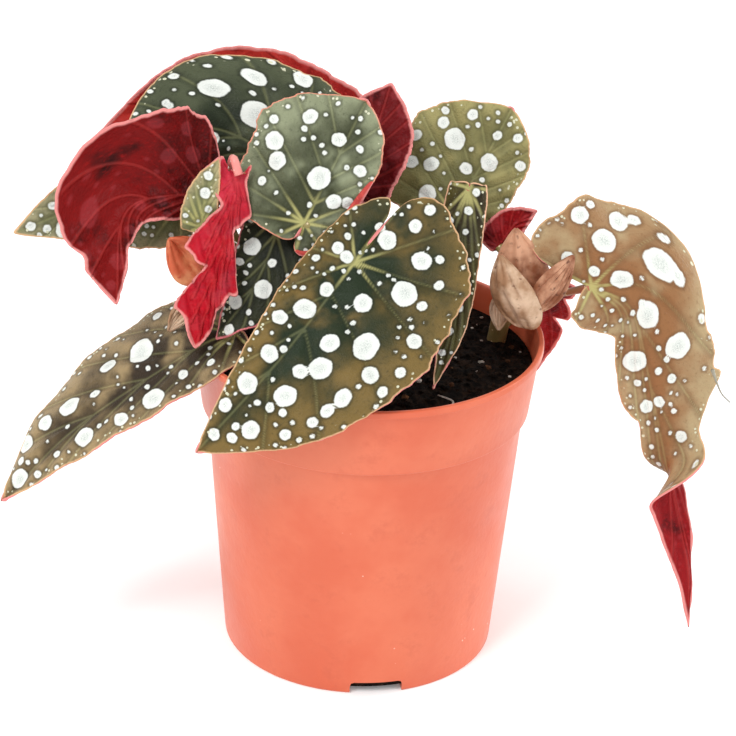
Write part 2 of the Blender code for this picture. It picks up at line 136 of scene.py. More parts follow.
# foot, tip, direction across, width, cup
BRACTS = {
    "bract_right_front": ((53, -4, 130), (48, -5, 157), (1, 0, 0), 15, 4),
    "bract_right_left": ((53, -12, 124), (43, -14, 151), (1, -0.3, 0), 13, 4),
    "bract_right_side": ((56, -12, 131), (67, -12, 151), (0.8, 0.2, -0.6), 9, 2),
    "bract_right_tail": ((45, 0, 131), (44, -8, 121), (1, 0, 0), 6, 1),
    "bract_left_front": ((-54, -18, 141), (-66, -19, 155), (0.7, 0.2, 0.7), 13, -2),
    "bract_left_tail": ((-58, -18, 133), (-66, -20, 122), (0.8, 0, -0.6), 6, 1),
}

# ---------------------------------------------------------------- spots, placed one by one

# (per cent of the way round the margin from notch to tip, per cent of the way out from the midrib with left
# positive, radius in millimetres)
SPOTS = {
    "leaf_front": [
        (17, 47, 3.1), (19, 72, 2.2), (18, 90, 1.9), (8, -85, 1.7), (28, 67, 3.2), (29, 80, 1.5),
        (36, 56, 4.3), (38, 29, 3.1), (35, 79, 1.7), (40, 72, 1.7), (29, 42, 0.8), (31, 36, 0.8),
        (31, 46, 0.8), (49, 79, 2.7), (52, 49, 4.3), (53, 24, 3.0), (61, 32, 3.6), (64, 21, 2.3),
        (59, 68, 2.8), (57, 86, 1.8), (66, 68, 2.7), (70, 70, 2.1), (72, 30, 3.5), (74, 74, 1.7),
        (76, 45, 1.3), (77, 30, 1.6), (85, 45, 2.9), (87, 25, 1.3), (80, 75, 1.8), (78, 15, 1.0),
        (21, -30, 2.1), (27, -55, 1.9), (23, -60, 1.2), (33, -13, 2.3), (37, -75, 1.3), (46, -25, 3.5),
        (56, -60, 2.6), (65, -30, 2.9), (76, -28, 3.4), (85, -50, 2.2), (60, -8, 1.2), (45, 30, 0.9),
        (90, 45, 1.7), (93, 5, 2.0), (62, 88, 1.7),
    ],
    "leaf_upper": [
        (56, 72, 3.2), (49, 60, 2.9), (49, 8, 3.8), (73, 58, 2.5), (74, 10, 2.4), (63, 83, 1.6),
        (67, 50, 1.1), (39, 68, 1.4), (55, 95, 0.8), (43, -40, 2.4), (48, -72, 1.9), (64, -60, 2.0),
        (74, -40, 1.2), (28, 5, 0.9),
    ],
    "leaf_inner": [
        (18, 2, 2.6), (32, -85, 1.6), (46, -55, 3.0), (57, -80, 1.5), (51, 14, 1.5), (66, 25, 3.0),
        (79, -40, 2.4), (79, 40, 1.0), (92, 50, 1.8),
    ],
    "leaf_top": [
        (74, 0, 5.2), (61, 25, 2.3), (66, -50, 3.3), (60, -70, 2.8), (53, -90, 3.0), (52, -28, 4.6),
        (79, -50, 1.2), (78, -42, 1.1), (75, -85, 1.2), (66, -96, 0.9), (60, -96, 1.0), (82, -90, 0.9),
    ],
    "leaf_upper_right": [
        (64, 44, 3.7), (67, 70, 2.0), (56, 88, 1.9), (47, 55, 2.5), (45, 80, 2.4), (53, 14, 2.1),
        (64, -12, 2.9), (31, 45, 3.0), (80, 62, 1.8), (82, 0, 1.6), (82, -65, 1.6), (68, -80, 1.7),
        (72, 85, 1.4), (78, 40, 0.9), (65, 20, 0.8), (56, 65, 0.8), (20, 45, 2.2), (10, 80, 2.0),
    ],
    "leaf_right": [
        (23, 88, 3.1), (26, 96, 1.5), (25, 62, 4.0), (30, 83, 3.2), (33, 88, 1.7), (34, 57, 4.1),
        (36, 82, 1.4), (24, 25, 3.2), (18, 35, 1.8), (32, 14, 3.8), (44, 40, 4.1), (38, -35, 3.8),
        (43, -45, 1.2), (53, 8, 1.9), (63, 40, 2.0), (50, -35, 2.2), (21, 3, 0.9), (26, 0, 1.0),
        (29, 15, 1.2), (41, 17, 1.0), (45, 25, 1.1), (46, 13, 1.2), (50, 30, 1.6), (37, 62, 2.0),
        (44, 75, 1.3), (57, 30, 1.0), (15, 60, 2.0),
    ],
    "leaf_lower_left": [
        (47, -40, 4.6), (57, -52, 2.8), (71, -42, 3.6), (64, -27, 1.8), (78, -60, 2.7), (85, -83, 3.2),
        (89, -60, 1.4), (93, -20, 3.2), (70, 50, 3.3), (46, 60, 3.9), (57, 65, 2.6), (35, 46, 1.8),
        (40, -82, 1.8), (52, -90, 0.9), (60, -95, 0.9), (80, 40, 1.3), (87, 60, 1.3), (65, 45, 1.0),
        (54, 28, 0.8), (25, 60, 1.4),
    ],
    "leaf_far_left": [
        (78, 60, 3.3), (86, 50, 1.3), (93, 0, 1.6), (80, -50, 1.4), (72, -30, 1.3), (60, -40, 2.4),
        (62, 35, 2.0),
    ],
    "leaf_folded": [
        (22, 10, 1.4), (10, 40, 1.3), (27, -60, 1.2), (34, 10, 1.0), (46, 0, 1.3), (54, -40, 1.5),
        (53, 35, 1.0), (62, -60, 1.3), (68, 20, 1.5), (78, -20, 1.4), (86, -40, 1.2),
    ],
    "leaf_young_left": [
        (78, 40, 1.5), (60, 10, 1.8), (40, -40, 1.2),
    ],
}
SPOT_GAP = 0.9  # least clear distance between two random spots, mm
SMALL_SPOTS = 0.016  # small random spots for each square millimetre of length times width
LARGE_RANDOM_SPOTS = 16  # on a leaf that has none listed
LARGE_RADII = (1.4, 3.2)
SMALL_RADII = (0.45, 0.9)
SPOT_TRIES = 8
SPOT_ROWS = (0.1, 0.93)  # row shares between which random spots lie

# Veins: row shares where those from the foot end, and midrib and row shares of those off the midrib
FAN_VEINS = (0.1, 0.24, 0.38, 0.52)
SIDE_VEINS = ((0.16, 0.64), (0.34, 0.76), (0.56, 0.87))
VEIN_REACH = 0.97  # how far out a vein runs, as a share of the half's width

# ---------------------------------------------------------------- how each leaf looks


def paint(red, green, blue):
    """A screen colour, 0 to 255, as the linear colour a shader takes."""
    shares = (red / 255, green / 255, blue / 255)
    return tuple(s / 12.92 if s <= 0.04045 else ((s + 0.055) / 1.055) ** 2.4 for s in shares)


DEFAULT_LOOK = {
    "centre": (44, 56, 32),
    "outer": (110, 104, 64),
    "hem": (214, 172, 128),
    "under": (150, 18, 24), "under_foot": (98, 8, 14),
    "under_hem": (240, 150, 146),
}
LOOKS = {
    "leaf_front": {"centre": (36, 48, 30), "outer": (122, 100, 54)},
    "leaf_upper": {"centre": (62, 66, 44), "outer": (142, 148, 118), "hem": (226, 150, 124)},
    # leaf_inner's greens are darkened with painted shade, as it lies behind leaf_front and tilts down.
    "leaf_inner": {"centre": (26, 30, 18), "outer": (52, 56, 36), "hem": (232, 132, 136)},
    "leaf_top": {"centre": (34, 42, 26), "outer": (80, 86, 64)},
    # leaf_back's crimson is brightened to orange-red: partly its own colour, partly a painted glow of light
    # shining through it.
    "leaf_back": {"under": (196, 56, 48), "under_foot": (160, 30, 34)},
    # leaf_back_right's crimson is darkened with painted shade.
    "leaf_back_right": {"under": (112, 14, 18), "under_foot": (70, 6, 10)},
    # leaf_left's deep crimson is darkened further with painted shade, most towards its foot.
    "leaf_left": {"under": (126, 10, 10), "under_foot": (52, 4, 4)},
    "leaf_far_left": {"centre": (100, 104, 66), "outer": (158, 152, 118)},
    "leaf_upper_right": {"centre": (110, 108, 68), "outer": (158, 150, 98)},
    "leaf_folded": {"centre": (46, 38, 20), "outer": (84, 76, 34), "hem": (236, 186, 150)},
    "leaf_right": {"centre": (148, 102, 64), "outer": (180, 158, 120)},
    "leaf_lower_left": {"centre": (54, 42, 28), "outer": (158, 136, 98)},
    "leaf_young_left": {"centre": (120, 124, 84), "outer": (180, 168, 128)},
    "leaf_rolled": {"under": (190, 18, 36), "under_foot": (206, 50, 70)},
}
SPOT_WHITE = paint(232, 236, 230)
# grey of the spots' speckled middle, partly painted shade of the hollow at their centre
SPOT_SPECKLE_AND_SHADE = paint(186, 194, 188)
PALE_VEIN = paint(150, 152, 104)
FOOT_STAR = paint(196, 190, 122)
MARGIN_DOTS = paint(214, 214, 186)


def look_of(name, **more):
    """The leaf's colours, ready for a shader."""
    screen_colours = {**DEFAULT_LOOK, **LOOKS.get(name, {}), **more}
    return {key: paint(*colour) for key, colour in screen_colours.items()}


# ---------------------------------------------------------------- edges, crumples and fineness

WIDER = {"leaf_rolled": 1.3, "leaf_young_left": 1.2}  # crumpled leaves spread past their smooth CAD shape
# (place along the half's margin, how far out as a share of the half's width, how long a stretch)
MARGIN_NOTCHES = {
    "leaf_right": {
        "left": [(0.44, -0.2, 0.05), (0.57, 0.22, 0.018), (0.64, -0.2, 0.035), (0.26, 0.05, 0.03)],
        "right": [(0.28, -0.35, 0.05), (0.42, 0.15, 0.04), (0.5, -0.2, 0.03)],
    },
    "leaf_back_low": {
        "left": [(0.4, -0.4, 0.03), (0.55, -0.5, 0.03), (0.7, -0.4, 0.02)],
        "right": [(0.35, -0.4, 0.02), (0.5, -0.3, 0.03), (0.62, -0.5, 0.02)],
    },
    "leaf_rolled": {
        "left": [
            (0.16, 0.5, 0.05), (0.3, -0.5, 0.05), (0.46, 0.6, 0.06), (0.62, -0.45, 0.04), (0.76, 0.5, 0.05),
        ],
        "right": [
            (0.14, -0.4, 0.05), (0.28, 0.5, 0.04), (0.42, -0.5, 0.05), (0.6, 0.7, 0.06), (0.8, -0.4, 0.04),
        ],
    },
    "leaf_left": {
        "left": [(0.8, -0.3, 0.04), (0.66, 0.06, 0.04)],
        "right": [(0.75, -0.3, 0.05)],
    },
}
CRUMPLED = {"leaf_rolled": 3.6, "leaf_back_low": 1.0, "leaf_young_right": 1.0, "leaf_left": 0.7}
MARGIN_WAVES = ((5, 0.012), (11, 0.011), (23, 0.007), (47, 0.004))  # how many along the half, and how deep
QUILT_HEIGHT = 1.5
QUILT_REACH = 3.2  # how far from a vein the quilting has risen, mm
RIPPLE_HEIGHT = 0.8
CREASES = ((0.45, 0.2), (0.35, 0.45), (0.2, 0.9))  # heights and closeness of a crumpled blade's folds
ROWS = 180
HALF_COLUMNS = 44
OUTLINE_STEPS = 400
MIDRIB_STEPS = 120
BEND_WINDOW = 9  # midrib steps over which the direction is evened out
ROUTE_PARTS = 40
SHEET = 0.35  # half the blade's thickness, mm
POT_SIDES = 180
STEM_SIDES = 16
STEM_STEPS = 40
HEM_ROWS = 60
HEM_COLUMNS = 9
BRACT_ROWS = 41
BRACT_COLUMNS = 33
PETIOLE_RADII = (1.7, 1.45, 1.35, 1.3, 1.5)
CANE_RADII = (3.6, 3.3, 3.5, 3.25)

# ---------------------------------------------------------------- routes and meshes


def unit(vectors):
    return vectors / np.maximum(np.linalg.norm(vectors, axis=-1, keepdims=True), 1e-9)


def smooth_route(points, steps):
    """Evenly spaced points on a Catmull-Rom curve through the given ones, as in the CAD."""
    points = np.array(points, float)
    padded = np.vstack([2 * points[:1] - points[1:2], points, 2 * points[-1:] - points[-2:-1]])
    t = np.linspace(0, 1, ROUTE_PARTS, endpoint=False)[:, None]
    fine = []
    for a, b, c, d in zip(padded, padded[1:], padded[2:], padded[3:]):
        cubic = 2 * b + (c - a) * t + (2 * a - 5 * b + 4 * c - d) * t**2 + (3 * b - a - 3 * c + d) * t**3
        fine.append(0.5 * cubic)
    fine = np.vstack([*fine, points[-1:]])
    lengths = np.concatenate([[0], np.cumsum(np.linalg.norm(np.diff(fine, axis=0), axis=1))])
    wanted = np.linspace(0, lengths[-1], steps + 1)
    return np.stack([np.interp(wanted, lengths, fine[:, axis]) for axis in range(3)], axis=1)


def route_length(points):
    return np.linalg.norm(np.diff(points, axis=0), axis=1).sum()


def seeded(name):
    """Each piece draws its own random numbers."""
    return np.random.default_rng([SEED, *name.encode()])


def blade_length(leaf):
    return route_length(smooth_route(leaf["midrib"], MIDRIB_STEPS))


def with_zero(grid):
    """Flat places with a third coordinate of 0."""
    return np.concatenate([grid, 0 * grid[..., :1]], axis=-1)


def evened(values, window):
    """Each row averaged with its neighbours; the ends keep their own."""
    padded = np.pad(values, ((window, window), (0, 0)), mode="edge")
    return sum(padded[i : i + len(values)] for i in range(2 * window + 1)) / (2 * window + 1)


def mesh_piece(name, corners, faces, materials, slot, face_materials=None, attributes=None, smooth=True):
    """A mesh object that rides on the root, from points in millimetres."""
    mesh = bpy.data.meshes.new(name)
    mesh.from_pydata((np.asarray(corners, float) * MM).tolist(), [], faces)
    for material in materials:
        mesh.materials.append(material)
    if face_materials is not None:
        mesh.polygons.foreach_set("material_index", np.asarray(face_materials, np.int32))
    mesh.polygons.foreach_set("use_smooth", [smooth] * len(mesh.polygons))
    for key, values in (attributes or {}).items():
        values = np.asarray(values, np.float32)
        kind = "FLOAT" if values.ndim == 1 else "FLOAT_VECTOR"
        made = mesh.attributes.new(key, kind, "POINT")
        made.data.foreach_set("value" if values.ndim == 1 else "vector", values.ravel())
    mesh.update()
    piece = bpy.data.objects.new(name, mesh)
    bpy.context.scene.collection.objects.link(piece)
    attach(piece, "root")
    return piece


# ---------------------------------------------------------------- a blade, flat


def half_outline(leaf, length, half):
    """Flat outline of half a blade, as (along, across) points from the notch round the lobe to the tip."""
    width, lobe = half[:2]
    belly = leaf.get("belly", BELLY) * length
    fullness = leaf.get("fullness", 2)
    notch = NOTCH_SHARE * min(leaf["left"][1], leaf["right"][1])
    points = [(-notch, 0)]
    for back, out in LOBE:
        points.append((-lobe * back, width * out))
    points.append((belly, width))
    for share in TAPER_SHARES:
        points.append((belly + (length - belly) * share, width * (1 - share**fullness)))
    points.append((length, 0))
    return smooth_route([(along, across, 0) for along, across in points], OUTLINE_STEPS)[:, :2]


def margin_at(outline, share):
    steps = np.linspace(0, 1, len(outline))
    return np.stack([np.interp(share, steps, outline[:, axis]) for axis in range(2)], axis=-1)


def flat_point(leaf, length, share, side):
    """Flat place of a row share and an across share, left positive."""
    outline = half_outline(leaf, length, leaf["left"] if side > 0 else leaf["right"])
    middle = np.array([length * share**VEIN_LEAD, 0])
    place = middle + (margin_at(outline, share) - middle) * abs(side)
    return np.array([place[0], math.copysign(place[1], side)])


def toothed(share, rng, notches=()):
    """How far the margin runs in and out along one half, as a share of its width."""
    wave = np.zeros_like(share)
    for place, size, spread in notches:
        wave += size * np.exp(-(((share - place) / spread) ** 2))
    for turns, size in MARGIN_WAVES:
        wave += size * np.sin(2 * math.pi * (turns * share + rng.random()))
    return wave * np.sin(math.pi * np.clip(share, 0, 1)) ** 0.5


def flat_grid(leaf, length, rng, wider, notches):
    """Flat points of the whole blade: rows from notch to tip, columns from the left margin to the right."""
    share = np.linspace(0, 1, ROWS + 1)
    middle = np.stack([length * share**VEIN_LEAD, 0 * share], axis=1)
    out = np.linspace(0, 1, HALF_COLUMNS + 1)
    halves = []
    for half, sign in (("left", 1), ("right", -1)):
        margin = margin_at(half_outline(leaf, length, leaf[half]), share)
        wave = toothed(share, rng, notches.get(half, ()))
        margin = middle + (margin - middle) * (wider * (1 + wave))[:, None]
        grid = middle[:, None] + (margin - middle)[:, None] * out[None, :, None]
        grid[..., 1] *= sign
        halves.append(grid)
    return np.concatenate([halves[0][:, ::-1], halves[1][:, 1:]], axis=1), share


def segment_distance(places, start, end):
    """Distance of flat places to a straight vein."""
    run = end - start
    along = np.clip(((places - start) @ run) / (run @ run), 0, 1)
    return np.linalg.norm(places - start - along[..., None] * run, axis=-1)


def vein_distance(leaf, length, grid):
    """Distance to the nearest vein: the midrib, veins that fan out from the foot, and side veins."""
    foot = np.zeros(2)
    found = segment_distance(grid, foot, np.array([length, 0]))
    for sign in (1, -1):
        for share in FAN_VEINS:
            end = flat_point(leaf, length, share, sign * VEIN_REACH)
            found = np.minimum(found, segment_distance(grid, foot, end))
        for start, share in SIDE_VEINS:
            end = flat_point(leaf, length, share, sign * VEIN_REACH)
            found = np.minimum(found, segment_distance(grid, np.array([length * start, 0]), end))
    return found


def spot_list(name, leaf, length, rng):
    """Flat centres and radii: the spots placed one by one, then small ones at random in the gaps."""
    spots = [(flat_point(leaf, length, round_share / 100, out_share / 100), radius)
             for round_share, out_share, radius in SPOTS.get(name, ())]
    big = 0 if name in SPOTS else LARGE_RANDOM_SPOTS
    small = int(SMALL_SPOTS * length * (leaf["left"][0] + leaf["right"][0]))
    for i in range(big + small):
        radius = rng.uniform(*LARGE_RADII) if i < big else rng.uniform(*SMALL_RADII)
        for _ in range(SPOT_TRIES):
            side = rng.choice((-1, 1)) * (0.97 - 0.9 * rng.random() ** 1.5)
            centre = flat_point(leaf, length, rng.uniform(*SPOT_ROWS), side)
            if all(np.linalg.norm(centre - c) > radius + r + SPOT_GAP for c, r in spots):
                spots.append((centre, radius))
                break
    return spots


def spot_distance(spots, grid):
    """Signed distance to the nearest spot's uneven edge, and how deep inside it a place is, 0 to 1."""
    distance = np.full(grid.shape[:2], 9.0)
    depth = np.zeros(grid.shape[:2])
    for n, (centre, radius) in enumerate(spots):
        offset = grid - centre
        turn = np.arctan2(offset[..., 1], offset[..., 0])
        uneven = 1 + 0.05 * np.sin(2 * turn + n) + 0.03 * np.sin(5 * turn + 2 * n)
        apart = np.linalg.norm(offset, axis=-1) - radius * uneven
        distance = np.minimum(distance, apart)
        depth = np.maximum(depth, np.clip(-apart / radius, 0, 1))
    return distance, depth


# ---------------------------------------------------------------- a blade, bent


def midrib_frames(leaf):
    """The midrib's points, with the forward, left and up directions at each."""
    line = smooth_route(leaf["midrib"], MIDRIB_STEPS)
    forward = unit(evened(unit(np.gradient(line, axis=0)), BEND_WINDOW))
    faces = np.array(leaf["faces"], float)
    up = unit(faces - forward * (forward @ faces)[:, None])
    left = np.cross(up, forward)
    start, end, degrees = leaf.get("twist", (0, 1, 0))
    share = np.clip((np.linspace(0, 1, MIDRIB_STEPS + 1) - start) / (end - start), 0, 1)
    turn = np.radians(degrees) * (share * share * (3 - 2 * share))[:, None]
    return line, forward, left * np.cos(turn) + up * np.sin(turn), up * np.cos(turn) - left * np.sin(turn)


def between(values, share):
    steps = np.linspace(0, 1, len(values))
    return np.stack([np.interp(share, steps, values[:, axis]) for axis in range(3)], axis=-1)


def bend(leaf, grid, length, lift):
    """Flat places bent along the midrib, each raised off the blade by its lift in millimetres."""
    line, forward, left, up = midrib_frames(leaf)
    along, across = grid[..., 0], grid[..., 1]
    share = np.clip(along / length, 0, 1)
    point = between(line, share) + between(forward, share) * np.minimum(along, 0)[..., None]
    left, up = unit(between(left, share)), unit(between(up, share))
    rise = np.zeros_like(across)
    for half, chosen in (("left", across > 0), ("right", across <= 0)):
        width, _, fold, curl = leaf[half]
        rise = np.where(chosen, np.radians(fold + curl * np.abs(across) / width), rise)
    reach = np.abs(across)
    bent = point + left * (across * np.cos(rise))[..., None] + up * (reach * np.sin(rise))[..., None]
    return bent + up * lift[..., None]


def relief(leaf, grid, veins, out, share, rng, crumple):
    """How far the blade is raised: quilted between its veins, wavy towards its margin, or crumpled."""
    size = min(1, max(leaf["left"][0], leaf["right"][0]) / 25)
    quilt = QUILT_HEIGHT * size * (1 - np.exp(-((veins / QUILT_REACH) ** 2)))
    waves = sum(
        math.cos(2 * math.pi * rng.random()) * np.sin(2 * math.pi * turns * share[:, None] + 6 * rng.random())
        for turns in (2, 3, 5, 8)
    )
    ripple = RIPPLE_HEIGHT * size * waves * out**3
    folds = np.zeros_like(out)
    for height, turns in CREASES:
        turn = rng.uniform(0, math.pi)
        wave = turns * (grid[..., 0] * math.cos(turn) + grid[..., 1] * math.sin(turn))
        folds += height * np.abs(np.sin(wave + 6 * rng.random()))
    return quilt * (1 - out**4) + ripple - 0.5 * size + crumple * (folds - 0.5)


def welded(points, centre_column, normals):
    """Numbers of the grid's points, with the two sides of the notch's slit joined and the tip made one."""
    rows, columns = points.shape[:2]
    numbers = np.arange(rows * columns).reshape(rows, columns)
    for k in range(1, centre_column + 1):
        left, right = centre_column - k, centre_column + k
        numbers[0, right] = numbers[0, left]
        normals[0, left] = unit(normals[0, left] + normals[0, right])
    numbers[-1, :] = numbers[-1, 0]
    normals[-1, :] = unit(normals[-2].mean(axis=0))
    return numbers


def sheet_normals(points):
    along = np.gradient(points, axis=0)
    across = np.gradient(points, axis=1)
    normals = np.cross(across, along)
    normals[0] = normals[1]
    normals[-1] = normals[-2]
    return unit(normals)


def tidy_ring(ring):
    return tuple(dict.fromkeys(int(n) for n in ring))


def sheet_faces(numbers, count):
    """Faces of the upper sheet, the under sheet and the rim between them, with their material numbers."""
    rows, columns = numbers.shape
    faces, kinds = [], []
    for i in range(rows - 1):
        for j in range(columns - 1):
            ring = tidy_ring((numbers[i, j], numbers[i, j + 1], numbers[i + 1, j + 1], numbers[i + 1, j]))
            if len(ring) > 2:
                faces += [ring, tuple(n + count for n in reversed(ring))]
                kinds += [0, 1]
        for j in (0, columns - 1):
            a, b = int(numbers[i, j]), int(numbers[i + 1, j])
            if a != b:
                rim = (a, b, b + count, a + count)
                faces.append(rim if j == 0 else rim[::-1])
                kinds.append(1)
    return faces, kinds


def compact(faces, arrays):
    """The faces and point arrays with unused points left out."""
    used = np.unique(np.concatenate([np.array(face) for face in faces]))
    place = np.full(used[-1] + 1, -1)
    place[used] = np.arange(len(used))
    return [tuple(place[list(face)].tolist()) for face in faces], [values[used] for values in arrays]


def closed_sheet(points, centre_column=None):
    """Corners, faces and material numbers of an upper and an under sheet round a grid of points.

    centre_column is the midrib's column where the first row is the slit of a leaf's notch."""
    normals = sheet_normals(points)
    if centre_column is None:
        numbers = np.arange(points[..., 0].size).reshape(points.shape[:2])
    else:
        numbers = welded(points, centre_column, normals)
    count = numbers.size
    sheets = (points + normals * SHEET, points - normals * SHEET)
    corners = np.concatenate([sheet.reshape(-1, 3) for sheet in sheets])
    faces, kinds = sheet_faces(numbers, count)
    return corners, faces, kinds


def make_leaf(name, leaf):
    rng = seeded(name)
    length = blade_length(leaf)
    grid, share = flat_grid(leaf, length, rng, WIDER.get(name, 1), MARGIN_NOTCHES.get(name, {}))
    out = np.abs(np.linspace(-1, 1, grid.shape[1]))[None, :] * np.ones((len(share), 1))
    veins = vein_distance(leaf, length, grid)
    margin = np.linalg.norm(grid - np.where(grid[..., 1:] > 0, grid[:, :1], grid[:, -1:]), axis=-1)
    margin = np.minimum(margin, np.linalg.norm(grid - grid[-1, 0], axis=-1))
    spots = spot_list(name, leaf, length, rng)
    distance, depth = spot_distance(spots, grid)
    lift = relief(leaf, grid, veins, out, share, rng, CRUMPLED.get(name, 0))
    points = bend(leaf, grid, length, lift)
    corners, faces, kinds = closed_sheet(points, HALF_COLUMNS)
    flat = with_zero(grid).reshape(-1, 3)
    columns = [distance, depth, veins, margin, out, share[:, None] * np.ones_like(out)]
    doubled = [np.tile(values.ravel(), 2) for values in columns]
    faces, found = compact(faces, [corners, np.tile(flat, (2, 1)), *doubled])
    keys = ("spot", "depth", "vein", "margin", "out", "row")
    attributes = {"flat": found[1], **dict(zip(keys, found[2:]))}
    look = look_of(name)
    materials = [upper_material(name, look), under_material(name, look)]
    piece = mesh_piece(f"{name}_blade", found[0], faces, materials, "leaf", kinds, attributes)
    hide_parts(name)


def make_hem(leaf_name, side, start, end, width, look):
    """A strip of the margin folded over on to the upper side, so that it shows its underside."""
    leaf = LEAVES[leaf_name]
    length = blade_length(leaf)
    shares = np.linspace(start, end, HEM_ROWS)
    margin = np.array([flat_point(leaf, length, share, side) for share in shares])
    middle = np.stack([length * shares**VEIN_LEAD, 0 * shares], axis=1)
    reach = width * np.sin(np.pi * (shares - start) / (end - start)) ** 0.6 + 0.3
    over = np.linspace(0, 1, HEM_COLUMNS)
    grid = margin[:, None] + unit(middle - margin)[:, None] * (reach[:, None] * over)[..., None]
    ripple = 0.4 * np.sin(30 * shares)[:, None] * over
    lift = 0.9 + 1.3 * np.sin(np.pi * 0.8 * over)[None, :] * (reach / width)[:, None] + ripple
    points = bend(leaf, grid, length, lift)
    if side < 0:
        points = points[:, ::-1]
    corners, faces, _ = closed_sheet(points)
    faces += end_rims(points.shape)
    flat = with_zero(grid)
    inner = np.ones(grid.shape[:2]) * over * 3
    columns = {"vein": inner + 3, "spot": inner + 3, "margin": inner, "row": inner * 0 + 0.5}
    if side < 0:
        flat = flat[:, ::-1]
        columns = {key: values[:, ::-1] for key, values in columns.items()}
    attributes = {"flat": np.tile(flat.reshape(-1, 3), (2, 1))}
    attributes.update({key: np.tile(values.ravel(), 2) for key, values in columns.items()})
    name = f"{leaf_name}_hem"
    mesh_piece(name, corners, faces, [under_material(name, look)], "leaf", attributes=attributes)


def end_rims(shape):
    """The rim faces across the first and the last row of a closed sheet."""
    rows, columns = shape[:2]
    count = rows * columns
    rims = []
    for row in (0, rows - 1):
        for j in range(columns - 1):
            a = row * columns + j
            ring = (a, a + 1, a + 1 + count, a + count)
            rims.append(ring if row else ring[::-1])
    return rims


# ---------------------------------------------------------------- stems, bracts


def tube_mesh(route, radii, sides=STEM_SIDES, steps=STEM_STEPS):
    """Corners and faces of a closed round stem whose radius follows the given values."""
    line = smooth_route(route, steps)
    forward = unit(np.gradient(line, axis=0))
    side = np.array([1.0, 0, 0])
    radius = np.interp(np.linspace(0, 1, steps + 1), np.linspace(0, 1, len(radii)), radii)
    corners = []
    for point, ahead, here in zip(line, forward, radius):
        side = unit(side - ahead * (side @ ahead))
        other = np.cross(ahead, side)
        for k in range(sides):
            turn = 2 * math.pi * k / sides
            corners.append(point + (side * math.cos(turn) + other * math.sin(turn)) * here)
    faces = [tuple(reversed(range(sides)))]
    for i in range(steps):
        for k in range(sides):
            low, nxt = i * sides, (k + 1) % sides
            faces.append((low + k, low + nxt, low + nxt + sides, low + k + sides))
    faces.append(tuple(range(steps * sides, (steps + 1) * sides)))
    return np.array(corners), faces


def make_stem(name, kind, route, radii, material):
    corners, faces = tube_mesh(route, radii)
    piece = mesh_piece(f"{name}_stem", corners, faces, [material], kind)
    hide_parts(name)


def nearest_on_cane(place):
    """A point inside the nearest cane, a little below this place."""
    canes = np.vstack([smooth_route(route, 80) for route in CANES.values()])
    return canes[np.argmin(np.linalg.norm(canes - (np.array(place) - [0, 0, 2.5]), axis=1))]


def make_petiole(name, leaf, material):
    line, _, _, up = midrib_frames(leaf)
    route = [nearest_on_cane(PETIOLES[name][0]), *PETIOLES[name], line[0] - up[0] * PETIOLE_STANDOFF * 0.4]
    make_stem(name.replace("leaf", "petiole"), "petiole", route, PETIOLE_RADII, material)


def make_bract(name, shape, material):
    rng = seeded(name)
    foot, tip, across, width, cup = shape
    foot, tip = np.array(foot, float), np.array(tip, float)
    across = unit(np.array(across, float))
    out = unit(np.cross(across, tip - foot))
    share = np.linspace(0, 1, BRACT_ROWS)[:, None]
    side = np.linspace(-1, 1, BRACT_COLUMNS)[None, :]
    half_width = width / 2 * (0.04 + 0.31 * (1 - share) + np.abs(np.sin(np.pi * share**0.8)) ** 0.8)
    crumple = sum(
        0.35 * np.sin(turns * (side * rng.uniform(0.5, 1.5) + share * rng.uniform(-1, 1)) + 6 * rng.random())
        for turns in (3, 5, 8, 13)
    )
    lift = cup * (1 - side**2) * np.sin(np.pi * share) + crumple * np.sin(np.pi * share) ** 0.5
    points = foot + (tip - foot) * share[..., None] + across * (half_width * side)[..., None]
    points = points + out * lift[..., None]
    corners, faces, _ = closed_sheet(points)
    piece = mesh_piece(f"{name}_scale", corners, faces + end_rims(points.shape), [material], "bract")
    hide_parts(name)


# ---------------------------------------------------------------- materials


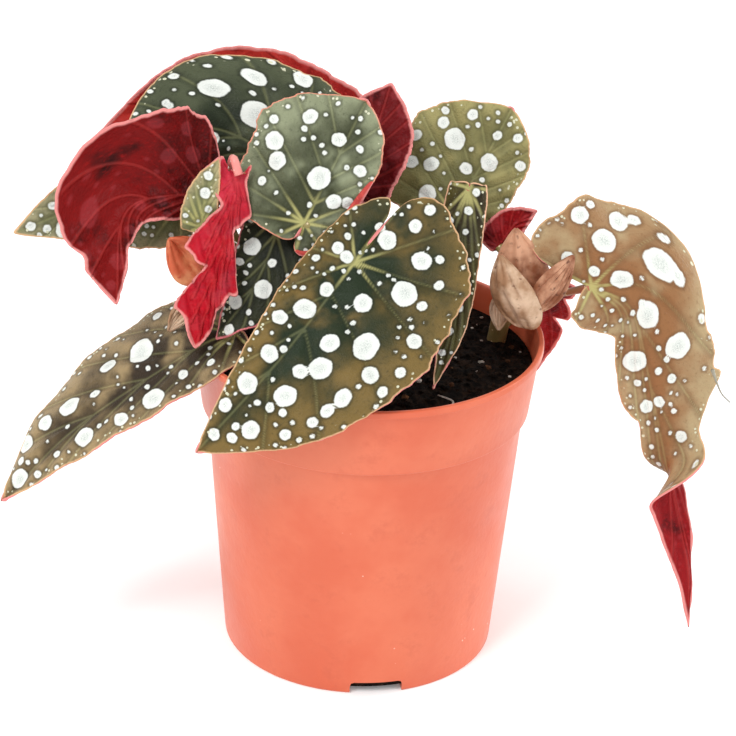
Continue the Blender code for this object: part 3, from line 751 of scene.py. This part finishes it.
class Maker:
    """Builds one material's nodes. An input may be a number, a colour, or another node's socket."""

    def __init__(self, name):
        self.material = bpy.data.materials.new(name)
        self.material.use_nodes = True
        self.tree = self.material.node_tree
        self.tree.nodes.clear()

    def node(self, kind, inputs, **settings):
        made = self.tree.nodes.new("ShaderNode" + kind)
        for key, value in settings.items():
            setattr(made, key, value)
        for key, value in inputs.items():
            socket = made.inputs[key]
            if isinstance(value, bpy.types.NodeSocket):
                self.tree.links.new(value, socket)
            elif socket.type == "RGBA":
                socket.default_value = (*value, 1)
            else:
                socket.default_value = value
        return made

    def attribute(self, name, output="Fac"):
        return self.node("Attribute", {}, attribute_name=name).outputs[output]

    def place(self):
        return self.node("TexCoord", {}).outputs["Object"]

    def math(self, operation, *values):
        return self.node("Math", dict(enumerate(values)), operation=operation).outputs[0]

    def times(self, *values):
        return self.math("MULTIPLY", *values)

    def band(self, value, start, end):
        """0 at start, 1 at end, smooth in between."""
        inputs = {"Value": value, "From Min": start, "From Max": end}
        return self.node("MapRange", inputs, interpolation_type="SMOOTHSTEP").outputs[0]

    def mix(self, share, first, second):
        return self.node("Mix", {0: share, 6: first, 7: second}, data_type="RGBA").outputs[2]

    def noise(self, vector, scale, detail=2.0, rough=0.5):
        inputs = {"Vector": vector, "Scale": scale, "Detail": detail, "Roughness": rough}
        return self.node("TexNoise", inputs).outputs[0]

    def cells(self, vector, scale):
        return self.node("TexVoronoi", {"Vector": vector, "Scale": scale}).outputs["Distance"]

    def finish(self, colour, roughness, height=None, depth=0.0002, glow=None, share=0.0, gloss=0.5):
        """The surface: matt to glossy, with a fine relief, and light shining through where glow is given."""
        inputs = {"Base Color": colour, "Roughness": roughness, "Specular IOR Level": gloss}
        if height is not None:
            inputs["Normal"] = self.node("Bump", {"Height": height, "Distance": depth}).outputs[0]
        shader = self.node("BsdfPrincipled", inputs).outputs[0]
        if glow is not None:
            through = self.node("BsdfTranslucent", {"Color": glow}).outputs[0]
            shader = self.node("MixShader", {0: share, 1: shader, 2: through}).outputs[0]
        self.node("OutputMaterial", {"Surface": shader})
        return self.material


def scaled(colour, share):
    return tuple(channel * share for channel in colour)


def leaf_ground(maker, look, flat, line):
    """Dark at the centre and paler outward, blotched, with pale veins, painted shade beside them and a star
    where they meet.
    """
    veins = maker.attribute("vein")
    broad = maker.noise(flat, 0.07, 3)
    fine = maker.noise(flat, 0.8, 4, 0.6)
    reach = maker.times(maker.attribute("out"), 0.6)
    reach = maker.math("MULTIPLY_ADD", maker.attribute("row"), 0.6, reach)
    outward = maker.math("ADD", reach, maker.math("SUBTRACT", broad, 0.5))
    base = maker.mix(maker.band(outward, 0.32, 1.0), look["centre"], look["outer"])
    base = maker.mix(maker.band(fine, 0.5, 0.95), base, scaled(look["centre"], 0.6))
    base = maker.mix(maker.band(broad, 0.5, 0.75), base, look["outer"])
    base = maker.mix(maker.times(line, 0.24), base, PALE_VEIN)
    # Painted shade on the slopes beside each vein, where the quilted blade dips towards it.
    beside = maker.times(maker.band(veins, 2.6, 0.6), maker.band(veins, 0.1, 0.6))
    base = maker.mix(maker.times(beside, 0.3), base, scaled(look["centre"], 0.5))
    foot = maker.node("VectorMath", {0: flat}, operation="LENGTH").outputs["Value"]
    rays = maker.times(line, maker.band(foot, 14, 2))
    star = maker.math("MAXIMUM", maker.band(foot, 2.2, 0.8), rays)
    return maker.mix(maker.times(star, 0.7), base, FOOT_STAR)


def with_spots(maker, base, look, flat, ragged):
    """Silver spots with a dark halo and a stippled, greyer middle: their own grey speckle, with painted shade
    of the hollow at their centre.
    """
    edge = maker.math("ADD", maker.attribute("spot"), ragged)
    halo = maker.times(maker.band(edge, 1.3, 0.2), 0.5)
    base = maker.mix(halo, base, scaled(look["centre"], 0.45))
    stipple = maker.band(maker.noise(flat, 2.6, 2), 0.35, 0.7)
    # Grey speckle in the spot's middle, partly painted shade of the hollow at its centre.
    speckle_and_dimple_shade = maker.times(maker.band(maker.attribute("depth"), 0.25, 0.85), stipple)
    silver = maker.mix(speckle_and_dimple_shade, SPOT_WHITE, SPOT_SPECKLE_AND_SHADE)
    return maker.mix(maker.band(edge, 0.25, -0.25), base, silver)


def with_margin(maker, base, look, flat, ragged):
    """A coloured hem, and a row of pale dots beside it."""
    margin = maker.math("ADD", maker.attribute("margin"), ragged)
    dots = maker.band(maker.cells(flat, 0.5), 0.27, 0.2)
    near = maker.times(maker.band(margin, 3.6, 2.6), maker.band(margin, 0.7, 1.2))
    base = maker.mix(maker.times(dots, near), base, MARGIN_DOTS)
    return maker.mix(maker.band(margin, 0.75, 0.2), base, look["hem"])


def upper_material(name, look):
    """The spotted upper side of a leaf."""
    maker = Maker(f"{name}_upper")
    flat = maker.attribute("flat", "Vector")
    line = maker.band(maker.attribute("vein"), 1.0, 0.1)
    ragged = maker.times(maker.math("SUBTRACT", maker.noise(flat, 0.9), 0.5), 0.5)
    base = leaf_ground(maker, look, flat, line)
    base = with_spots(maker, base, look, flat, ragged)
    base = with_margin(maker, base, look, flat, ragged)
    height = maker.math("ADD", maker.noise(flat, 1.6, 3), maker.times(line, -0.6))
    return maker.finish(base, 0.36, height, 0.00035, base, 0.1, 0.16)


def under_material(name, look):
    """The crimson underside of a leaf, paler along its veins and margin."""
    maker = Maker(f"{name}_under")
    flat = maker.attribute("flat", "Vector")
    broad = maker.noise(flat, 0.09, 3)
    fine = maker.noise(flat, 0.9, 3)
    outward = maker.math("ADD", maker.attribute("row"), maker.math("SUBTRACT", broad, 0.5))
    base = maker.mix(maker.band(outward, 0.05, 0.6), look["under_foot"], look["under"])
    base = maker.mix(maker.band(broad, 0.48, 0.72), base, scaled(look["under_foot"], 0.7))
    base = maker.mix(maker.band(fine, 0.5, 0.85), base, scaled(look["under"], 1.35))
    line = maker.band(maker.attribute("vein"), 0.8, 0.1)
    base = maker.mix(maker.times(line, 0.22), base, paint(206, 70, 66))
    through = maker.band(maker.attribute("spot"), 0.4, -0.6)
    base = maker.mix(maker.times(through, 0.14), base, paint(214, 92, 100))
    base = maker.mix(maker.band(maker.attribute("margin"), 1.3, 0.4), base, look["under_hem"])
    height = maker.math("ADD", maker.noise(flat, 1.2, 3), line)
    return maker.finish(base, 0.42, height, 0.0004, base, 0.2, 0.14)


def stem_material(name, low, high, flecks):
    maker = Maker(name)
    place = maker.place()
    base = maker.mix(maker.band(maker.noise(place, 60, 2), 0.35, 0.65), low, high)
    base = maker.mix(maker.band(maker.cells(place, 500), 0.22, 0.12), base, flecks)
    return maker.finish(base, 0.4, maker.noise(place, 900, 2), 0.0002)


def bract_material(name, dark, light, vein):
    maker = Maker(name)
    place = maker.place()
    base = maker.mix(maker.band(maker.noise(place, 130, 4), 0.35, 0.65), dark, light)
    base = maker.mix(maker.band(maker.noise(place, 420, 3), 0.6, 0.8), base, vein)
    return maker.finish(base, 0.65, maker.noise(place, 500, 4), 0.0005, base, 0.25)


def pot_material():
    """Thin coral plastic with faint smudges, fine scratches and pale specks."""
    maker = Maker("pot_plastic")
    place = maker.place()
    coral, pale, deep = paint(204, 92, 58), paint(214, 110, 76), paint(184, 74, 44)
    base = maker.mix(maker.band(maker.noise(place, 22, 4, 0.6), 0.35, 0.7), coral, pale)
    mottle = maker.band(maker.noise(place, 90, 5, 0.7), 0.5, 0.75)
    base = maker.mix(maker.times(mottle, 0.35), base, deep)
    specks = maker.band(maker.cells(place, 260), 0.1, 0.05)
    patchy = maker.band(maker.noise(place, 30, 2), 0.6, 0.68)
    base = maker.mix(maker.times(specks, patchy), base, paint(252, 222, 208))
    smudge = maker.band(maker.noise(place, 40, 3, 0.6), 0.3, 0.7)
    roughness = maker.math("ADD", maker.times(smudge, 0.14), 0.3)
    return maker.finish(base, roughness, maker.noise(place, 500, 3), 0.0001)


def soil_material(name, dark, light):
    maker = Maker(name)
    place = maker.place()
    base = maker.mix(maker.band(maker.noise(place, 350, 5, 0.7), 0.4, 0.7), dark, light)
    return maker.finish(base, 0.95, maker.noise(place, 900, 5, 0.7), 0.001, gloss=0.1)


# ---------------------------------------------------------------- the pot, in millimetres

POT_HEIGHT = 114.5
RIM_RADIUS = 60.0
LIP_HEIGHT = 2.4
LIP_WIDTH = 0.8
RIM_TOP_WIDTH = 1.8
COLLAR_BOTTOM_RADIUS = 56.0
COLLAR_BOTTOM_HEIGHT = 89.3
BODY_TOP_RADIUS = 54.2
BASE_RADIUS = 46.9
WALL = 1.2
FLOOR = 1.6
NOTCHES = 3
NOTCH_TURN = math.radians(-81)
NOTCH_REACH = (-8, 4)  # how far the notch's cutter runs inside and outside the base
SHARP_ANGLE = math.radians(35)
SOIL_EDGE_HEIGHT = 105.0
SOIL_HEAP = 2.5
SOIL_GAP = 0.4  # between the soil and the pot's wall and floor
SOIL_TOP_GAP = 0.35


def body_radius(height):
    return BASE_RADIUS + (BODY_TOP_RADIUS - BASE_RADIUS) * height / COLLAR_BOTTOM_HEIGHT


def collar_radius(height):
    share = (height - COLLAR_BOTTOM_HEIGHT) / (POT_HEIGHT - COLLAR_BOTTOM_HEIGHT)
    return COLLAR_BOTTOM_RADIUS + (RIM_RADIUS - LIP_WIDTH - COLLAR_BOTTOM_RADIUS) * share


def turned_mesh(profile, sides):
    """Corners and faces of a closed shape turned round the upright axis."""
    corners, rings, faces = [], [], []
    for radius, height in profile:
        count = sides if radius else 1
        rings.append([len(corners) + i for i in range(count)])
        for i in range(count):
            turn = 2 * math.pi * i / sides
            corners.append((radius * math.cos(turn), radius * math.sin(turn), height))
    for lower, upper in zip(rings, rings[1:]):
        for i in range(sides):
            j = (i + 1) % sides
            below = (lower[i % len(lower)], lower[j % len(lower)])
            ring = (*below, upper[j % len(upper)], upper[i % len(upper)])
            faces.append(tuple(dict.fromkeys(ring)))
    return corners, faces


def rounded_corner(before, corner, after, size, parts=4):
    """The corner of a profile as a short curve."""
    before, corner, after = (np.array(p, float) for p in (before, corner, after))
    start = corner + unit(before - corner) * size
    end = corner + unit(after - corner) * size
    shares = np.linspace(0, 1, parts + 1)
    return [tuple((1 - t) ** 2 * start + 2 * t * (1 - t) * corner + t * t * end) for t in shares]


def pot_profile():
    lip = POT_HEIGHT - LIP_HEIGHT
    shoulder = COLLAR_BOTTOM_HEIGHT
    # radius, height, and how far the corner's rounding reaches
    sharp = [
        (0, 0, 0),
        (BASE_RADIUS, 0, 0.9),
        (BODY_TOP_RADIUS, shoulder - 0.2, 0.5),
        (COLLAR_BOTTOM_RADIUS, shoulder + 0.2, 0.5),
        (collar_radius(lip), lip - 0.1, 0.25),
        (RIM_RADIUS, lip, 0.25),
        (RIM_RADIUS, POT_HEIGHT, 0.6),
        (RIM_RADIUS - RIM_TOP_WIDTH, POT_HEIGHT, 0.5),
        (collar_radius(lip) - WALL, lip, 0.5),
        (COLLAR_BOTTOM_RADIUS - WALL, shoulder + WALL, 0.4),
        (BODY_TOP_RADIUS - WALL, shoulder, 0.4),
        (body_radius(FLOOR) - WALL, FLOOR, 0.8),
        (0, FLOOR, 0),
    ]
    profile = [sharp[0][:2]]
    for before, corner, after in zip(sharp, sharp[1:], sharp[2:]):
        profile += rounded_corner(before[:2], corner[:2], after[:2], corner[2])
    return [*profile, sharp[-1][:2]]


def notch_block(turn):
    """Corners and faces of a block across the corner of the base, with its upper corners cut off."""
    half = [(9, -1), (9, 3), (8.6, 4.1), (7.5, 4.5)]
    outline = [(-9, -1), *half, *[(-x, z) for x, z in half[:0:-1]]]
    out = np.array([math.cos(turn), math.sin(turn), 0])
    side = np.array([-math.sin(turn), math.cos(turn), 0])
    up = np.array([0, 0, 1])
    corners = [out * (BASE_RADIUS + r) + side * x + up * z for r in NOTCH_REACH for x, z in outline]
    count = len(outline)
    faces = [tuple(reversed(range(count))), tuple(range(count, 2 * count))]
    faces += [(i, (i + 1) % count, (i + 1) % count + count, i + count) for i in range(count)]
    return corners, faces


def make_pot():
    pot = mesh_piece("pot_shell", *turned_mesh(pot_profile(), POT_SIDES), [pot_material()], "pot")
    cutters = []
    for i in range(NOTCHES):
        corners, faces = notch_block(NOTCH_TURN + 2 * math.pi * i / NOTCHES)
        mesh = bpy.data.meshes.new("notch")
        mesh.from_pydata((np.array(corners) * MM).tolist(), [], faces)
        tool = bpy.data.objects.new("notch", mesh)
        bpy.context.scene.collection.objects.link(tool)
        cutters.append(tool)
        modifier = pot.modifiers.new("notch", "BOOLEAN")
        modifier.operation = "DIFFERENCE"
        modifier.solver = "EXACT"
        modifier.object = tool
    bpy.context.view_layer.update()
    cut = bpy.data.meshes.new_from_object(pot.evaluated_get(bpy.context.evaluated_depsgraph_get()))
    pot.modifiers.clear()
    pot.data = cut
    for tool in cutters:
        bpy.data.objects.remove(tool)
    cut.set_sharp_from_angle(angle=SHARP_ANGLE)
    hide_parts("pot")


# ---------------------------------------------------------------- the soil


def heap_height(radius):
    """Height of the smooth heap at this distance from the axis."""
    return SOIL_EDGE_HEIGHT + SOIL_HEAP * np.interp(radius / RIM_RADIUS, (0, 0.6, 0.96), (1, 0.8, 0))


def make_soil():
    rng = np.random.default_rng(SEED)
    reach = collar_radius(SOIL_EDGE_HEIGHT) - WALL - SOIL_TOP_GAP
    profile = [
        (0, FLOOR + SOIL_GAP),
        (body_radius(FLOOR) - WALL - SOIL_GAP, FLOOR + SOIL_GAP),
        (BODY_TOP_RADIUS - WALL - SOIL_GAP, COLLAR_BOTTOM_HEIGHT - 0.1),
        (COLLAR_BOTTOM_RADIUS - WALL - SOIL_GAP, COLLAR_BOTTOM_HEIGHT + WALL + SOIL_GAP),
    ]
    rings = 60
    radii = [reach * (1 - i / rings) for i in range(rings)]
    profile += [(radius, float(heap_height(radius))) for radius in radii]
    profile.append((0, SOIL_EDGE_HEIGHT + SOIL_HEAP))
    corners, faces = turned_mesh(profile, 200)
    corners = np.array(corners, float)
    top = corners[:, 2] > SOIL_EDGE_HEIGHT - 0.01
    inside = np.clip((reach - np.hypot(corners[:, 0], corners[:, 1])) / 2, 0, 1)
    lumps = np.array([fractal_lump(p) for p in corners])
    corners[:, 2] += np.where(top, lumps * inside, 0)
    dark = soil_material("soil_dark", paint(12, 9, 7), paint(50, 36, 26))
    soil = mesh_piece("soil_body", corners, faces, [dark], "soil")
    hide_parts("soil")
    scatter("soil_crumbs", rng, 900, (0.4, 1.3), reach - 1.5, [dark])
    bark = soil_material("soil_bark", paint(58, 36, 24), paint(120, 86, 58))
    scatter("soil_bark", rng, 60, (0.5, 1.4), reach - 2, [bark])
    pale = soil_material("soil_perlite", paint(168, 158, 146), paint(230, 224, 214))
    scatter("soil_perlite", rng, 46, (0.5, 1.2), reach - 2, [pale])
    fibre = [(12, -44, 106.6), (18, -47, 108.0), (25, -44, 107.4), (29, -38, 108.4), (24, -34, 108.8)]
    mesh_piece("soil_fibre", *tube_mesh(fibre, (0.35, 0.5, 0.4, 0.25), 8, 30), [pale], "soil")


def fractal_lump(place):
    here = mathutils.Vector(place) * 0.35
    return 1.1 * mathutils.noise.fractal(here, 0.7, 2.1, 4)


def scatter(name, rng, count, sizes, reach, materials):
    """Small uneven lumps lying on the heap."""
    ball = bmesh.new()
    bmesh.ops.create_icosphere(ball, subdivisions=1, radius=1)
    shape = np.array([v.co for v in ball.verts])
    rings = [[v.index for v in face.verts] for face in ball.faces]
    ball.free()
    corners, faces = [], []
    for _ in range(count):
        radius, turn = reach * math.sqrt(rng.random()), 2 * math.pi * rng.random()
        size = rng.uniform(*sizes)
        uneven = shape * rng.uniform(0.7, 1.25, shape.shape) * size * np.array([1, rng.uniform(0.6, 1), 0.7])
        x, y = radius * math.cos(turn), radius * math.sin(turn)
        z = float(heap_height(radius)) + fractal_lump((x, y, heap_height(radius))) + size * 0.2
        faces += [tuple(n + len(corners) * len(shape) for n in ring) for ring in rings]
        corners.append(uneven + np.array([x, y, z]))
    mesh_piece(name, np.vstack(corners), faces, materials, "soil", smooth=False)


# ---------------------------------------------------------------- the plant


def make_plant():
    cane = stem_material("cane_skin", paint(150, 92, 66), paint(120, 108, 62), paint(206, 188, 150))
    petiole = stem_material("petiole_skin", paint(178, 84, 70), paint(140, 128, 76), paint(214, 196, 160))
    grey = stem_material("hair_grey", paint(120, 116, 104), paint(150, 146, 130), paint(180, 176, 160))
    pink = stem_material("petiole_pink", paint(206, 60, 72), paint(232, 150, 140), paint(244, 214, 200))
    rose = bract_material("bract_rose", paint(150, 86, 52), paint(222, 170, 136), paint(96, 50, 28))
    beige = bract_material("bract_beige", paint(176, 132, 96), paint(230, 200, 170), paint(118, 66, 40))
    amber = bract_material("bract_amber", paint(214, 104, 66), paint(238, 168, 118), paint(196, 70, 52))
    papers = {"bract_right_front": rose, "bract_right_side": rose, "bract_left_front": amber}
    for name, route in CANES.items():
        make_stem(name, "cane", route, CANE_RADII, cane)
    for name, leaf in LEAVES.items():
        make_leaf(name, leaf)
        make_petiole(name, leaf, pink if name == "leaf_rolled" else petiole)
    salmon = look_of("hem", under=(206, 84, 76), under_foot=(180, 52, 52))
    hair = [(116, -14, 112), (118, -14, 107), (120, -14, 103), (123, -14, 100)]
    mesh_piece("leaf_right_hair", *tube_mesh(hair, (0.7, 0.35, 0.25, 0.2), 8, 24), [grey], "leaf")
    make_hem("leaf_upper", -1, 0.1, 0.62, 2.6, salmon)
    for name, shape in BRACTS.items():
        make_bract(name, shape, papers.get(name, beige))


# ---------------------------------------------------------------- studio

ELEVATION = math.radians(26.2)
ROLL = math.radians(2.08)
LENS = 143.35
TARGET = (0.6, 0, 101.1)
DISTANCE = 1000
SENSOR = 36
FLOOR_SIDE = 16  # metres
FLOOR_GLOW = 0.12  # keeps the floor white where the plant shades it
WORLD_STRENGTH = 0.8
LIGHTS_AIM = (0, 0, 0.11)
# place and side in metres, and power in watts
LIGHTS = {
    "key": ((-0.5, -0.8, 1.3), 0.5, 12),
    "fill": ((1.1, -0.8, 0.7), 0.9, 3),
    "side_right": ((1.2, 0.5, 0.5), 0.6, 9),
    "side_left": ((-1.2, 0.5, 0.5), 0.6, 5),
}


def make_camera():
    back = np.array([0, -math.cos(ELEVATION), math.sin(ELEVATION)])
    right = np.array([1.0, 0, 0])
    up = np.cross(back, right)
    across = right * math.cos(ROLL) + up * math.sin(ROLL)
    over = up * math.cos(ROLL) - right * math.sin(ROLL)
    place = (np.array(TARGET) + back * DISTANCE) * MM
    data = bpy.data.cameras.new("camera")
    data.lens = LENS
    data.sensor_width = SENSOR
    data.clip_end = 100
    camera = bpy.data.objects.new("camera", data)
    rows = [[*axes, at] for axes, at in zip(np.stack([across, over, back], 1), place)]
    camera.matrix_world = mathutils.Matrix([*rows, [0, 0, 0, 1]])
    bpy.context.scene.collection.objects.link(camera)
    bpy.context.scene.camera = camera


def soft_light(name, place, size, power):
    data = bpy.data.lights.new(name, "AREA")
    data.size = size
    data.energy = power
    lamp = bpy.data.objects.new(name, data)
    lamp.location = place
    aim = mathutils.Vector(LIGHTS_AIM) - lamp.location
    lamp.rotation_euler = aim.to_track_quat("-Z", "Y").to_euler()
    bpy.context.scene.collection.objects.link(lamp)


def make_studio():
    scene = bpy.context.scene
    mesh = bpy.data.meshes.new("floor")
    half = FLOOR_SIDE / 2
    corners = [(-half, -half, 0), (half, -half, 0), (half, half, 0), (-half, half, 0)]
    mesh.from_pydata(corners, [], [(0, 1, 2, 3)])
    maker = Maker("floor_white")
    place = maker.place()
    white = maker.mix(maker.noise(place, 3), (0.93, 0.93, 0.93), (0.96, 0.96, 0.96))
    mesh.materials.append(maker.finish(white, 0.9))
    surface = next(n for n in maker.tree.nodes if n.type == "BSDF_PRINCIPLED")
    surface.inputs["Emission Color"].default_value = (1, 1, 1, 1)
    surface.inputs["Emission Strength"].default_value = FLOOR_GLOW
    floor = bpy.data.objects.new("floor", mesh)
    scene.collection.objects.link(floor)
    world = bpy.data.worlds.new("studio")
    world.use_nodes = True
    background = world.node_tree.nodes["Background"]
    background.inputs["Color"].default_value = (1, 1, 1, 1)
    background.inputs["Strength"].default_value = WORLD_STRENGTH
    scene.world = world
    scene.view_settings.view_transform = "Standard"
    for name, light in LIGHTS.items():
        soft_light(name, *light)


make_pot()
make_soil()
make_plant()
make_studio()
make_camera()
